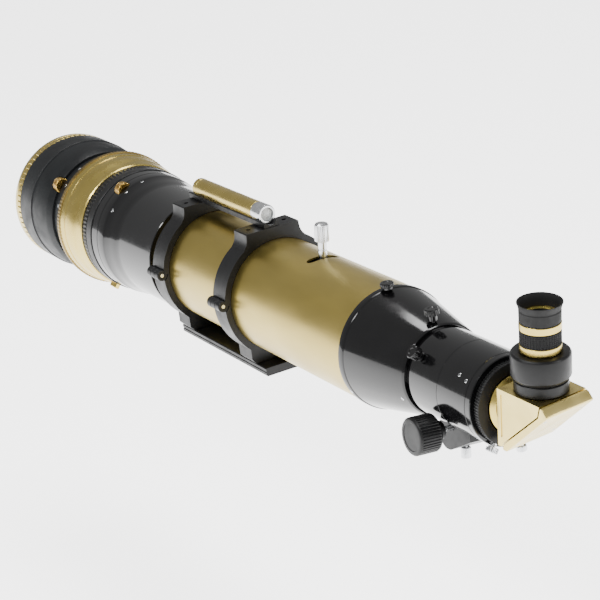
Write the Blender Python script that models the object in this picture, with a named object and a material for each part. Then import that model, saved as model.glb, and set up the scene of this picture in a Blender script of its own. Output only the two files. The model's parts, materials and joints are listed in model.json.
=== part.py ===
"""Solar refractor telescope: double front filter, clamshell rings, rack focuser, diagonal and eyepiece.

Sizes below are millimetres and become metres as each mesh is made. The origin is the centre of the
mounting plate's underside, +X runs along the tube towards the eyepiece and +Z is up.
"""

import math

import bmesh
import bpy
from mathutils import Matrix, Vector

MM = 0.001
GAP = 0.3
CUT_PAST = 2.0

# Frame
AXIS_HEIGHT = 68.2
TUBE_ROLL = math.radians(-5.76)

# Main tube
TUBE_RADIUS = 54.0
TUBE_BORE = 52.0
TUBE_FRONT = -150.5
TUBE_REAR = 270.2
TUNER_X = 153.5
TUNER_SLOT_HALF = 16.2

# Clamp rings and mounting plate
RING_WIDTH = 24.7
RING_BORE = 54.3
RING_RADIUS = 60.5
RING_CENTRES = {"front": -72.4, "rear": 58.8}
PART_LINE = 5.0
HINGE_Y = -61.8
HINGE_Z = 5.0
KNUCKLE_RADIUS = 5.5
KNUCKLE_INSET = 0.25
LUG_REACH = 71.0
LUG_TOP = 9.5
LUG_BOTTOM = -8.0
CLAMP_SCREW_Y = 66.0
PAD_TOP = 66.2
PAD_HALF = 28.0
BLOCK_HALF = 41.0
BLOCK_BOTTOM = -59.7
PLATE_HALF_LENGTH = 88.7
PLATE_HALF_WIDTH = 36.8
PLATE_THICKNESS = 8.2
RING_BOLT_Y = 30.0

# Finder
FINDER_Z = 77.3
FINDER_RADIUS = 9.2
FINDER_SPAN = (-74.5, 47.0)
SCREEN_END = 64.5
RAIL_SPAN = (-86.5, 70.5)
RAIL_HALF = 8.0

# Front filter stack, front to rear
RIM_SPAN = (-419.6, -405.15)
RIM_RADIUS = 71.5
BARREL_SPAN = (-404.85, -326.15)
WHEEL_RING_SPAN = (-325.85, -299.25)
TILT_SPAN = (-298.95, -249.95)
COUPLING_SPAN = (-249.65, -226.55)
ADAPTER_SPAN = (-226.25, -96.6)
WHEEL_RADIUS = 8.4
FRONT_WHEEL = {"span": (-334.0, -324.8), "radius": 63.4, "angle": math.radians(143.8)}
REAR_WHEEL = {"span": (-214.6, -205.0), "radius": 60.4, "angle": math.radians(121.0)}

# Rear cone and focuser
CONE_FLANGE = (270.5, 278.5, 54.9)
CONE_END = (352.9, 40.4)
FOCUSER_FRONT = 358.4
FOCUSER_REAR = 448.5
FOCUSER_RADIUS = 38.3
DRAWTUBE_RADIUS = 28.0
DRAWTUBE_BORE = 25.7
DRAWTUBE_SPAN = (331.0, 452.0)
KNOB_X = 388.0
KNOB_Z = -36.3
KNOB_RADIUS = 16.4
KNOB_END = 55.9
SHAFT_RADIUS = 2.5
PINION_RADIUS = 4.0
RACK_HALF = 4.0
RACK_LOW = -32.0
ADAPTER_RING_SPAN = (448.8, 456.3)
ADAPTER_RING_RADIUS = 35.5
ADAPTER_BORE = 25.6

# Diagonal and eyepiece: the block sits a few degrees out of square with the tube
DIAGONAL_PLACE = (488.4, 3.1, 21.3)
DIAGONAL_SKEW = (4.5, 4.85, 8.0)
DIAGONAL_HALF = 24.85
MIRROR_PLACE = (0, -2.6, -20.5)
NOSE_RADIUS = 24.8
LIGHT_RADIUS = 17.4
HOLDER_BORE = 16.2
BARREL_RADIUS = 15.8
EYEPIECE_RADIUS = 16.8
EYECUP_TOP = 73.7

BIG = 20
MEDIUM = 16
SMALL = 12
TINY = 8

FINISHES = {
    "gold": ((0.60, 0.53, 0.24), 0.28, 0.9),
    "brass": ((0.72, 0.55, 0.22), 0.25, 1.0),
    "black_gloss": ((0.012, 0.013, 0.014), 0.18, 0.0),
    "black_satin": ((0.020, 0.021, 0.022), 0.42, 0.0),
    "black_matte": ((0.022, 0.024, 0.026), 0.65, 0.0),
    "rubber": ((0.018, 0.018, 0.019), 0.85, 0.0),
    "silver": ((0.72, 0.73, 0.74), 0.28, 1.0),
    "steel": ((0.45, 0.46, 0.47), 0.35, 1.0),
    "filter_glass": ((0.20, 0.02, 0.01), 0.05, 0.0),
    "glass": ((0.75, 0.85, 0.82), 0.03, 0.0),
    "screen": ((0.80, 0.82, 0.80), 0.30, 0.0),
    "mirror": ((0.92, 0.93, 0.94), 0.04, 1.0),
}


def finish(name):
    """The Principled material of that name, made once."""
    found = bpy.data.materials.get(name)
    if found:
        return found
    colour, roughness, metallic = FINISHES[name]
    made = bpy.data.materials.new(name)
    made.use_nodes = True
    shader = made.node_tree.nodes["Principled BSDF"]
    shader.inputs["Base Color"].default_value = (*colour, 1.0)
    shader.inputs["Roughness"].default_value = roughness
    shader.inputs["Metallic"].default_value = metallic
    made.diffuse_color = (*colour, 1.0)
    return made


def empty(name, parent=None, at=(0, 0, 0), roll=0.0):
    made = bpy.data.objects.new(name, None)
    made.empty_display_size = 20 * MM
    bpy.context.scene.collection.objects.link(made)
    made.parent = parent
    made.location = [value * MM for value in at]
    made.rotation_euler = (roll, 0, 0)
    return made


def add(name, shape, look, parent=None, at=(0, 0, 0), turn=None):
    """An object from a bmesh, in millimetres under its parent, turned by the matrix."""
    bmesh.ops.recalc_face_normals(shape, faces=shape.faces)
    mesh = bpy.data.meshes.new(name)
    shape.to_mesh(mesh)
    shape.free()
    mesh.materials.append(finish(look))
    mesh.shade_smooth()
    mesh.set_sharp_from_angle(angle=math.radians(32))
    made = bpy.data.objects.new(name, mesh)
    bpy.context.scene.collection.objects.link(made)
    made.parent = parent
    made.matrix_local = Matrix.Translation(Vector(at) * MM) @ (turn or Matrix.Identity(4))
    return made


def lathe(profile, steps=BIG, across=0.0, up=0.0):
    """A turned body about an axis along X, from (x, radius) points: a loop, or a line from axis to axis."""
    shape = bmesh.new()
    points = [shape.verts.new((x * MM, across * MM, (up + radius) * MM)) for x, radius in profile]
    edges = [shape.edges.new(pair) for pair in zip(points, points[1:])]
    if profile[0][1] > 0:
        edges.append(shape.edges.new((points[-1], points[0])))
    centre = (0, across * MM, up * MM)
    turned = {"cent": centre, "axis": (1, 0, 0), "angle": math.tau, "steps": steps, "use_merge": True}
    bmesh.ops.spin(shape, geom=points + edges, **turned)
    bmesh.ops.remove_doubles(shape, verts=shape.verts, dist=2e-7)
    return shape


def pin(start, end, radius, steps=SMALL, chamfer=0.0, across=0.0, up=0.0):
    """A solid cylinder along X with chamfered ends."""
    outline = [(start, 0), (start, radius - chamfer), (start + chamfer, radius)]
    outline += [(end - chamfer, radius), (end, radius - chamfer), (end, 0)]
    if not chamfer:
        outline = [(start, 0), (start, radius), (end, radius), (end, 0)]
    return lathe(outline, steps, across, up)


def block(x_span, y_span, z_span, bevel=0.0):
    shape = bmesh.new()
    bmesh.ops.create_cube(shape, size=1.0)
    low = Vector((x_span[0], y_span[0], z_span[0])) * MM
    high = Vector((x_span[1], y_span[1], z_span[1])) * MM
    bmesh.ops.scale(shape, vec=high - low, verts=shape.verts)
    bmesh.ops.translate(shape, vec=(high + low) / 2, verts=shape.verts)
    if bevel:
        bmesh.ops.bevel(shape, geom=shape.edges[:], offset=bevel * MM, segments=1, affect="EDGES")
    return shape


def prism(outline, start, end, along="X"):
    """A flat outline extruded: (y, z) points along X, or (x, z) points along Y."""
    shape = bmesh.new()
    if along == "X":
        points = [shape.verts.new((start * MM, a * MM, b * MM)) for a, b in outline]
        step = Vector(((end - start) * MM, 0, 0))
    else:
        points = [shape.verts.new((a * MM, start * MM, b * MM)) for a, b in outline]
        step = Vector((0, (end - start) * MM, 0))
    face = shape.faces.new(points)
    grown = bmesh.ops.extrude_face_region(shape, geom=[face])["geom"]
    moved = [item for item in grown if isinstance(item, bmesh.types.BMVert)]
    bmesh.ops.translate(shape, vec=step, verts=moved)
    return shape


def arc(radius, start, end, steps, centre=(0.0, 0.0)):
    """Points on an arc, both ends included, angles in radians from +Y towards +Z."""
    angles = [start + (end - start) * index / steps for index in range(steps + 1)]
    return [(centre[0] + radius * math.cos(a), centre[1] + radius * math.sin(a)) for a in angles]


def boolean(target, other, operation):
    other.hide_render = True
    other.display_type = "WIRE"
    step = target.modifiers.new(other.name, "BOOLEAN")
    step.operation = operation
    step.object = other
    step.solver = "EXACT"


def helper(target, label, shape, operation="DIFFERENCE", turn=None, at=(0, 0, 0)):
    """Cuts a shape from the target, or joins it on, the shape being placed like the target's own mesh."""
    name = f"{operation.lower()}_{target.name}_{label}"
    made = add(name, shape, "steel", target.parent, at, turn)
    made.location = Vector(target.location) + made.location
    boolean(target, made, operation)


def outward(angle):
    """Turns +X into the direction at this angle about the X axis, from +Y towards +Z."""
    return Matrix.Rotation(angle, 4, "X") @ Matrix.Rotation(math.pi / 2, 4, "Z")


UPWARD = Matrix.Rotation(-math.pi / 2, 4, "Y")
SIDEWAYS = Matrix.Rotation(math.pi / 2, 4, "Z")


def cap_points(edge_x, edge_radius, sag, steps):
    """(x, radius) points of a shallow curved face from the axis to its edge, sag positive towards +X."""
    return [
        (edge_x + sag * (1 - (index / steps) ** 2), edge_radius * index / steps)
        for index in range(steps + 1)
    ]


def lens(front_edge, rear_edge, radius, front_sag, rear_sag, steps=3):
    """Lens outline from axis to axis; a sag is how far that face's middle stands towards +X of its edge."""
    front = cap_points(front_edge, radius, front_sag, steps)
    rear = cap_points(rear_edge, radius, rear_sag, steps)
    return lathe(front + rear[::-1])


def build_plate():
    plate = add(
        "mounting_plate",
        block(
            (-PLATE_HALF_LENGTH, PLATE_HALF_LENGTH),
            (-PLATE_HALF_WIDTH, PLATE_HALF_WIDTH),
            (0, PLATE_THICKNESS),
            bevel=0.8,
        ),
        "black_satin",
    )
    for end, centre in RING_CENTRES.items():
        for side, y in (("near", -RING_BOLT_Y), ("far", RING_BOLT_Y)):
            outline = [(-CUT_PAST, 0), (-CUT_PAST, 6.0), (4.8, 6.0), (4.8, 3.2), (12.0, 3.2), (12.0, 0)]
            hole = lathe(outline, SMALL)
            helper(plate, f"{end}_{side}", hole, turn=UPWARD, at=(centre, y, 0))
    for index, x in enumerate((-38.0, 38.0)):
        helper(plate, f"thread_{index}", pin(-CUT_PAST, 12.0, 3.2, TINY), turn=UPWARD, at=(x, 0, 0))
    return plate


def lower_ring_outline():
    """(y, z) outline of the fixed half ring, about the tube axis, with its foot and clamp lug."""
    line = PART_LINE - GAP / 2
    inner = math.asin(line / RING_BORE)
    outer = math.asin(line / RING_RADIUS)
    lug_angle = math.asin(LUG_BOTTOM / RING_RADIUS)
    foot_angle = math.acos(BLOCK_HALF / RING_RADIUS)
    outline = arc(RING_BORE, math.pi - inner, math.tau + inner, 20)
    outline += [(LUG_REACH, line), (LUG_REACH, LUG_BOTTOM)]
    outline += arc(RING_RADIUS, lug_angle, -foot_angle, 4)
    outline += [(BLOCK_HALF, -55.0), (BLOCK_HALF - 4, BLOCK_BOTTOM)]
    outline += [(4 - BLOCK_HALF, BLOCK_BOTTOM), (-BLOCK_HALF, -55.0)]
    outline += arc(RING_RADIUS, foot_angle - math.pi, -math.pi - outer, 4)
    return outline


def upper_ring_outline():
    """(y, z) outline of the opening half ring, about the tube axis, with its top pad and clamp lug."""
    line = PART_LINE + GAP / 2
    inner = math.asin(line / RING_BORE)
    outer = math.asin(line / RING_RADIUS)
    shoulder = math.radians(57)
    outline = arc(RING_BORE, inner, math.pi - inner, 20)
    outline += arc(RING_RADIUS, math.pi - outer, math.pi - shoulder, 5)
    outline += [
        (-PAD_HALF - 1.6, 55.0), (-PAD_HALF - 0.4, 58.5), (-PAD_HALF, PAD_TOP - 1),
        (1 - PAD_HALF, PAD_TOP),
    ]
    outline += [
        (PAD_HALF - 1, PAD_TOP), (PAD_HALF, PAD_TOP - 1), (PAD_HALF + 0.4, 58.5),
        (PAD_HALF + 1.6, 55.0),
    ]
    outline += arc(RING_RADIUS, shoulder, math.asin(LUG_TOP / RING_RADIUS), 5)
    outline += [(LUG_REACH, LUG_TOP), (LUG_REACH, line)]
    return outline


def knuckle(start, end, radius):
    return pin(start, end, radius, SMALL, across=HINGE_Y, up=HINGE_Z)


def build_ring(end, hinge):
    """One clamshell ring: fixed half, opening half on the hinge, hinge pin, clamp screw and foot bolts."""
    centre = RING_CENTRES[end]
    front = centre - RING_WIDTH / 2
    rear = centre + RING_WIDTH / 2
    middle = 4.4
    barrel_front = front + KNUCKLE_INSET
    barrel_rear = rear - KNUCKLE_INSET
    axis = (0, 0, AXIS_HEIGHT)

    lower = add(f"{end}_ring_lower", prism(lower_ring_outline(), front, rear), "black_satin", at=axis)
    helper(lower, "screw", pin(-16, 9, 3.2, TINY), turn=UPWARD, at=(centre, CLAMP_SCREW_Y, 0))
    for side, y in (("near", -RING_BOLT_Y), ("far", RING_BOLT_Y)):
        thread = pin(BLOCK_BOTTOM - CUT_PAST, -50.5, 2.8, TINY)
        helper(lower, f"thread_{side}", thread, turn=UPWARD, at=(centre, y, 0))
    ends = ((barrel_front - CUT_PAST, centre - middle), (centre + middle, barrel_rear + CUT_PAST))
    for index, span in enumerate(ends):
        helper(lower, f"clear_{index}", knuckle(*span, KNUCKLE_RADIUS + GAP))
    inside = middle - GAP
    helper(lower, "knuckle", knuckle(centre - inside, centre + inside, KNUCKLE_RADIUS), "UNION")
    helper(lower, "pin", knuckle(barrel_front - CUT_PAST, barrel_rear + CUT_PAST, 2.5))

    from_hinge = (0, -HINGE_Y, -HINGE_Z)
    half_ring = prism(upper_ring_outline(), front, rear)
    upper = add(f"{end}_ring_upper", half_ring, "black_satin", hinge, from_hinge)
    helper(upper, "screw", pin(-3, 15, 2.5, TINY), turn=UPWARD, at=(centre, CLAMP_SCREW_Y, 0))
    for index, y in enumerate((-19.0, 19.0)):
        helper(upper, f"pad_hole_{index}", pin(59.5, 70, 2.3, TINY), turn=UPWARD, at=(centre, y, 0))
    helper(upper, "clear", knuckle(centre - middle, centre + middle, KNUCKLE_RADIUS + GAP))
    for index, span in enumerate(((barrel_front, centre - middle), (centre + middle, barrel_rear))):
        helper(upper, f"knuckle_{index}", knuckle(*span, KNUCKLE_RADIUS), "UNION")
    helper(upper, "pin", knuckle(barrel_front - CUT_PAST, barrel_rear + CUT_PAST, 2.5))

    hinge_pin = knuckle(barrel_front + 0.3, barrel_rear - 0.3, 2.2)
    add(f"{end}_hinge_pin", hinge_pin, "silver", at=axis)

    head = LUG_TOP + GAP
    outline = [
        (-7.0, 0), (-7.0, 1.9), (head, 1.9), (head, 4.5), (head + 3.5, 4.5), (head + 4.0, 4.0),
        (head + 4.0, 0),
    ]
    screw_place = (centre, CLAMP_SCREW_Y - HINGE_Y, -HINGE_Z)
    add(f"{end}_clamp_screw", lathe(outline, SMALL), "silver", hinge, screw_place, UPWARD)

    for side, y in (("near", -RING_BOLT_Y), ("far", RING_BOLT_Y)):
        outline = [(0.6, 0), (0.6, 5.5), (4.5, 5.5), (4.5, 2.5), (16.5, 2.5), (16.5, 0)]
        add(f"{end}_ring_bolt_{side}", lathe(outline, SMALL), "steel", at=(centre, y, 0), turn=UPWARD)


def build_finder(hinge):
    """Sun finder: a rail across both ring pads, the finder tube in its cradle and the end screen."""
    place = (0, -HINGE_Y, -HINGE_Z)
    rail = add(
        "finder_rail",
        block(RAIL_SPAN, (-RAIL_HALF, RAIL_HALF), (PAD_TOP + GAP, 71.6)),
        "black_satin",
        hinge,
        place,
    )
    cradle = pin(RAIL_SPAN[0] - CUT_PAST, RAIL_SPAN[1] + CUT_PAST, FINDER_RADIUS + GAP, MEDIUM, up=FINDER_Z)
    helper(rail, "cradle", cradle)
    start, end = FINDER_SPAN
    pinhole = 1.5
    wall = 1.6
    tube = [
        (start, pinhole), (start, FINDER_RADIUS - 0.4), (start + 0.4, FINDER_RADIUS),
        (end, FINDER_RADIUS),
    ]
    tube += [(end, FINDER_RADIUS - wall), (start + 2, FINDER_RADIUS - wall), (start + 2, pinhole)]
    add("finder_tube", lathe(tube, MEDIUM, up=FINDER_Z), "gold", hinge, place)
    bore = FINDER_RADIUS - wall
    cap = end + GAP
    screen = [(SCREEN_END, 0), (SCREEN_END, 8.2), (SCREEN_END - 1, FINDER_RADIUS), (cap, FINDER_RADIUS)]
    screen += [
        (cap, bore - GAP), (end - 7, bore - GAP), (end - 7, bore - 1.5), (SCREEN_END - 3, bore - 1.5),
    ]
    screen += [(SCREEN_END - 3, 0)]
    add("finder_screen", lathe(screen[::-1], MEDIUM, up=FINDER_Z), "screen", hinge, place)


def build_mount():
    build_plate()
    hinge = empty("clamp_hinge", at=(0, HINGE_Y, AXIS_HEIGHT + HINGE_Z))
    for end in RING_CENTRES:
        build_ring(end, hinge)
    build_finder(hinge)


def wheel_place(wheel):
    angle = wheel["angle"]
    return wheel["radius"] * math.cos(angle), wheel["radius"] * math.sin(angle)


def tuning_wheel(name, wheel, tube):
    """Knurled brass wheel with a spindle, its axis along the tube."""
    front, rear = wheel["span"]
    across, up = wheel_place(wheel)
    outline = [
        (front - 6, 0), (front - 6, 1.9), (front, 1.9), (front, WHEEL_RADIUS - 0.6),
        (front + 0.6, WHEEL_RADIUS),
    ]
    outline += [(rear - 0.6, WHEEL_RADIUS), (rear, WHEEL_RADIUS - 0.6), (rear, 0)]
    add(name, lathe(outline, MEDIUM), "brass", tube, (0, across, up))


def wheel_pocket(target, wheel):
    """Clears a wheel and its spindle out of the ring around it."""
    front, rear = wheel["span"]
    across, up = wheel_place(wheel)
    room = 0.5
    outline = [
        (front - 6.5, 0), (front - 6.5, 2.2), (front - room, 2.2), (front - room, WHEEL_RADIUS + room),
    ]
    outline += [(rear + room, WHEEL_RADIUS + room), (rear + room, 0)]
    helper(target, "wheel", lathe(outline, MEDIUM, across, up))


def etalon(name, span, radius, stud_end, tube, wheel):
    """A tilting cell on two pivot studs, holding its plate pair. Its empty is on the pivot axis."""
    front, rear = span
    middle = (front + rear) / 2
    pivot = empty(f"{name}_pivot", tube, (middle, 0, 0), wheel["angle"] - math.pi / 2)
    half = (rear - front) / 2
    glass = radius - 9.0
    lip = 4.0
    outline = [(-half, radius), (half, radius), (half, glass - lip), (half - 4, glass - lip)]
    outline += [(half - 4, glass + GAP), (-half, glass + GAP)]
    cell = add(f"{name}_cell", lathe(outline), "black_satin", pivot)
    for side, turn in (("a", SIDEWAYS), ("b", SIDEWAYS.inverted())):
        helper(cell, f"stud_{side}", pin(radius - 3, stud_end, 2.5, TINY), "UNION", turn)
    add(f"{name}_plates", pin(GAP - half, half - 4 - GAP, glass, BIG, 0.6), "glass", pivot)


def build_front_stack(tube):
    """The front filter unit and the parts that join it to the main tube."""
    front, rear = RIM_SPAN
    rim = [
        (front, 46.0), (front, RIM_RADIUS - 0.8), (front + 0.8, RIM_RADIUS), (rear, RIM_RADIUS),
        (rear, 58.4),
    ]
    rim += [(front + 3.0, 58.4), (front + 3.0, 46.0)]
    add("filter_rim", lathe(rim), "gold", tube)

    add("filter_glass", pin(front + 3.3, front + 9.3, 58.0, BIG, 0.5), "filter_glass", tube)

    front, rear = BARREL_SPAN
    barrel = [
        (front - 4.9, 52.0), (front - 4.9, 58.1), (front, 58.1), (front, RIM_RADIUS),
        (front + 30.9, RIM_RADIUS),
    ]
    barrel += [
        (front + 31.5, 70.4), (rear - 9.7, 69.2), (rear, 66.5), (rear, 60.0), (front + 6, 60.0),
        (front + 2, 52.0),
    ]
    barrel = add("filter_barrel", lathe(barrel), "black_matte", tube)
    wheel_pocket(barrel, FRONT_WHEEL)

    front, rear = WHEEL_RING_SPAN
    ring = [(front - 9, 52.5), (front - 9, 59.7), (front, 59.7), (front, 64.0), (rear, 64.0), (rear, 60.7)]
    ring += [(rear + 7, 60.7), (rear + 7, 52.5)]
    ring = add("front_wheel_ring", lathe(ring), "black_matte", tube)
    wheel_pocket(ring, FRONT_WHEEL)
    tuning_wheel("front_tuning_wheel", FRONT_WHEEL, tube)

    front, rear = TILT_SPAN
    housing = [(front, 61.0), (front, 71.9), (front + 0.6, 72.5), (front + 5.4, 72.5), (front + 5.6, 71.0)]
    housing += [(front + 13.8, 70.2), (front + 14.2, 69.4), (front + 24, 68.9), (front + 36, 67.9)]
    housing += [
        (rear - 3.2, 66.4), (rear - 0.8, 65.8), (rear, 64.9), (rear, 52.0), (rear - 3, 52.0),
        (rear - 3, 61.0),
    ]
    add("tilt_housing", lathe(housing), "gold", tube)
    etalon("front_etalon", (-285.5, -258.0), 58.0, 59.8, tube, FRONT_WHEEL)

    front, rear = COUPLING_SPAN
    ring = [(front, 52.0), (front, 64.9), (rear - 0.8, 64.9), (rear, 64.1), (rear, 52.0)]
    add("coupling_ring", lathe(ring), "black_satin", tube)

    front, rear = ADAPTER_SPAN
    adapter = [(front, 57.3), (front, 63.4), (front + 0.7, 64.0), (front + 24, 63.0), (front + 27.5, 62.2)]
    adapter += [
        (front + 41, 61.0), (front + 49, 59.4), (front + 57.5, 58.4), (rear - 0.8, 58.6), (rear, 57.8),
    ]
    adapter += [(rear, RING_BORE), (-187.0, RING_BORE), (-187.0, 49.0), (-191.5, 49.0), (-191.5, 57.3)]
    adapter = add("front_adapter", lathe(adapter), "black_gloss", tube)
    wheel_pocket(adapter, REAR_WHEEL)
    tuning_wheel("rear_tuning_wheel", REAR_WHEEL, tube)
    etalon("rear_etalon", (-222.0, -196.5), 50.0, 56.1, tube, REAR_WHEEL)


def build_objective(tube):
    cell = [
        (-186.6, 44.6), (-186.6, TUBE_RADIUS), (-151.0, TUBE_RADIUS), (-151.0, 47.4), (-182.6, 47.4),
        (-182.6, 44.6),
    ]
    add("objective_cell", lathe(cell), "black_matte", tube)
    add("objective_crown_lens", lens(-181.8, -172.5, 47.0, -3.6, 3.4), "glass", tube)
    add("objective_flint_lens", lens(-170.9, -161.0, 47.0, 3.4, -1.0), "glass", tube)


def build_tube(tube):
    bore = [
        (TUBE_FRONT, TUBE_BORE), (TUBE_FRONT, TUBE_RADIUS), (TUBE_REAR, TUBE_RADIUS),
        (TUBE_REAR, TUBE_BORE),
    ]
    body = add("main_tube", lathe(bore), "gold", tube)
    slot = block((TUNER_X - 4.9, TUNER_X + 4.9), (-TUNER_SLOT_HALF, TUNER_SLOT_HALF), (46, 58))
    helper(body, "tuner_slot", slot)


def build_tuner(tube):
    """The inner etalon's carrier turns about the tube axis, pushed by the knob's stem through the slot."""
    front = TUNER_X - 15.5
    rear = TUNER_X + 15.5
    carrier = [
        (front, 40.0), (front, 51.0), (rear, 51.0), (rear, 44.3), (front + 4, 44.3), (front + 4, 40.0),
    ]
    carrier = add("tuner_carrier", lathe(carrier), "black_satin", tube)
    helper(carrier, "stem", pin(46.0, 60.0, 3.0, TINY), turn=UPWARD, at=(TUNER_X, 0, 0))
    add("inner_etalon_plates", pin(front + 4.3, front + 19, 44.0, BIG, 0.6), "glass", tube)
    knob = [
        (46.4, 0), (46.4, 2.6), (51.9, 2.6), (51.9, 4.2), (68.9, 4.2), (68.9, 6.1), (69.6, 6.8),
        (84.2, 6.8),
    ]
    knob += [(85.8, 5.9), (86.5, 4.2), (86.5, 0)]
    add("tuner_knob", lathe(knob, MEDIUM), "silver", tube, (TUNER_X, 0, 0), UPWARD)


def thumbscrew(holder, name, x, angle, heights, radii):
    """A screw pointing at the axis: heights are its tip, collar, head and top, radii its collar and head."""
    tip, collar, head, top = heights
    shank = 1.9
    outline = [
        (tip, 0), (tip, shank), (collar, shank), (collar, radii[0]), (head, radii[0]),
        (head, radii[1]),
    ]
    outline += [(top - 0.6, radii[1]), (top, radii[1] - 0.6), (top, 0)]
    helper(holder, name, pin(tip - 6, collar + 3, shank + 0.4, TINY), turn=outward(angle), at=(x, 0, 0))
    add(name, lathe(outline, SMALL), "black_gloss", holder.parent, (x, 0, 0), outward(angle))


def build_cone(tube):
    front, shoulder, flange = CONE_FLANGE
    end, end_radius = CONE_END
    spigot = TUBE_BORE - GAP
    cone = [
        (front - 8.5, 48.6), (front - 8.5, spigot), (front, spigot), (front, flange - 0.5),
        (front + 0.5, flange),
    ]
    cone += [
        (shoulder, flange), (end - 0.5, end_radius), (end, end_radius - 0.5), (end, 34.3),
        (337.0, 34.3),
    ]
    cone += [(335.0, 38.4), (shoulder + 2, 48.6)]
    cone = add("rear_cone", lathe(cone), "black_gloss", tube)
    thumbscrew(cone, "cone_screw_front", 278.5, math.radians(98), (49.0, 55.2, 57.5, 61.5), (4.6, 6.2))
    thumbscrew(cone, "cone_screw_top", 345.5, math.radians(96.8), (35.0, 43.1, 48.0, 54.0), (4.0, 6.5))


def build_focuser(tube):
    """Turning focuser body with the pinion's housing and the two screws that lock it."""
    bore = DRAWTUBE_RADIUS + GAP
    rear = FOCUSER_REAR
    body = [(338.5, bore), (338.5, 33.5), (353.2, 33.5), (353.2, 36.8), (FOCUSER_FRONT, 36.8)]
    body += [(FOCUSER_FRONT, FOCUSER_RADIUS), (rear, FOCUSER_RADIUS), (rear, bore)]
    body = add("focuser_body", lathe(body), "black_gloss", tube)
    thumbscrew(body, "focuser_screw", 368.0, math.radians(144.7), (30.5, 38.7, 42.5, 50.0), (4.2, 6.2))
    half = RACK_HALF + 0.4
    helper(body, "rack_way", block((330, rear + CUT_PAST), (-half, half), (RACK_LOW - 0.4, -20)))
    helper(body, "pinion_well", block((KNOB_X - 7, KNOB_X + 7), (-9, 9), (-46, -24)))
    place = (KNOB_X, 0, KNOB_Z)
    helper(body, "shaft", pin(-30, 30, SHAFT_RADIUS + 0.4, SMALL), turn=SIDEWAYS, at=place)

    outline = [
        (KNOB_X - 19.5, -30.0), (KNOB_X - 19.5, -50.0), (KNOB_X - 15.0, -56.0), (KNOB_X - 12.0, -58.0),
    ]
    outline += [(KNOB_X - 4.0, -58.0), (KNOB_X + 26.0, -42.5), (KNOB_X + 26.0, -30.0)]
    housing = add("pinion_housing", prism(outline, -16, 16, "Y"), "black_satin", tube)
    tension_x = KNOB_X - 5.5
    helper(housing, "tension", pin(-66, -46, 2.2, TINY), turn=UPWARD, at=(tension_x, 0, 0))
    helper(housing, "saddle", pin(360, 460, FOCUSER_RADIUS + 0.9, BIG))
    helper(housing, "well", block((KNOB_X - 7.2, KNOB_X + 7.2), (-9.2, 9.2), (-44, -20)))
    helper(housing, "shaft", pin(-20, 20, SHAFT_RADIUS + 0.4, SMALL), turn=SIDEWAYS, at=place)

    screw = [(-68.4, 0), (-68.4, 3.8), (-67.8, 4.4), (-58.4, 4.4), (-58.4, 1.7), (-48.0, 1.7), (-48.0, 0)]
    add("tension_screw", lathe(screw, SMALL), "silver", tube, (tension_x, 0, 0), UPWARD)


def build_drawtube(tube):
    """Drawtube with its rack, the pinion shaft and knobs that drive it, and the adapter at its end."""
    start, end = DRAWTUBE_SPAN
    outline = [
        (start, DRAWTUBE_BORE), (start, DRAWTUBE_RADIUS), (end, DRAWTUBE_RADIUS), (end, DRAWTUBE_BORE),
    ]
    drawtube = add("drawtube", lathe(outline), "silver", tube)
    rack = block((start + 2, KNOB_X + 8), (-RACK_HALF, RACK_HALF), (RACK_LOW, -26.6))
    helper(drawtube, "rack", rack, "UNION")

    place = (KNOB_X, 0, KNOB_Z)
    shaft = [
        (-50, 0), (-50, SHAFT_RADIUS), (-3.8, SHAFT_RADIUS), (-3.8, PINION_RADIUS),
        (3.8, PINION_RADIUS),
    ]
    shaft += [(3.8, SHAFT_RADIUS), (50, SHAFT_RADIUS), (50, 0)]
    add("pinion_shaft", lathe(shaft, SMALL), "steel", tube, place, SIDEWAYS)
    bore = SHAFT_RADIUS + GAP
    knob = [(50.3, 0), (50.3, bore), (27.0, bore), (27.0, 8.0), (34.5, 8.0), (34.5, KNOB_RADIUS)]
    knob += [(KNOB_END - 1, KNOB_RADIUS), (KNOB_END, KNOB_RADIUS - 1), (KNOB_END, 0)]
    for name, turn in (("focus_knob_far", SIDEWAYS), ("focus_knob_near", SIDEWAYS.inverted())):
        add(name, lathe(knob, BIG), "black_satin", tube, place, turn)

    start, end = ADAPTER_RING_SPAN
    inner = DRAWTUBE_RADIUS + GAP
    step = DRAWTUBE_SPAN[1] + GAP
    adapter = [
        (start, inner), (start, 34.0), (end - 0.6, ADAPTER_RING_RADIUS),
        (end, ADAPTER_RING_RADIUS - 0.6),
    ]
    adapter += [(end, ADAPTER_BORE), (step, ADAPTER_BORE), (step, inner)]
    adapter = add("eyepiece_adapter", lathe(adapter), "black_satin", tube)
    heights = (28.7, 36.6, 38.4, 43.4)
    thumbscrew(adapter, "adapter_screw_near", start + 3.8, math.radians(-120), heights, (2.6, 5.4))
    thumbscrew(adapter, "adapter_screw_low", start + 3.8, math.radians(-79), heights, (2.6, 4.6))


def diagonal_body_outline():
    """(x, z) outline from the eyepiece axis at the top face: a square block cut off at 45 degrees."""
    return [(-24.3, 0), (23.9, 0), (21.6, -9.0), (-17.4, -45.0), (-20.0, -49.8), (-24.3, -49.8)]


def diagonal_cover_outline():
    """(x, z) outline of the slanted back plate that closes the block."""
    outline = [(24.6, -0.3), (27.0, -1.2), (31.9, -6.0), (31.9, -7.4), (-14.6, -52.4), (-18.6, -52.4)]
    return outline + [(-19.3, -50.3), (-16.8, -45.6), (22.3, -9.5)]


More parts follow.
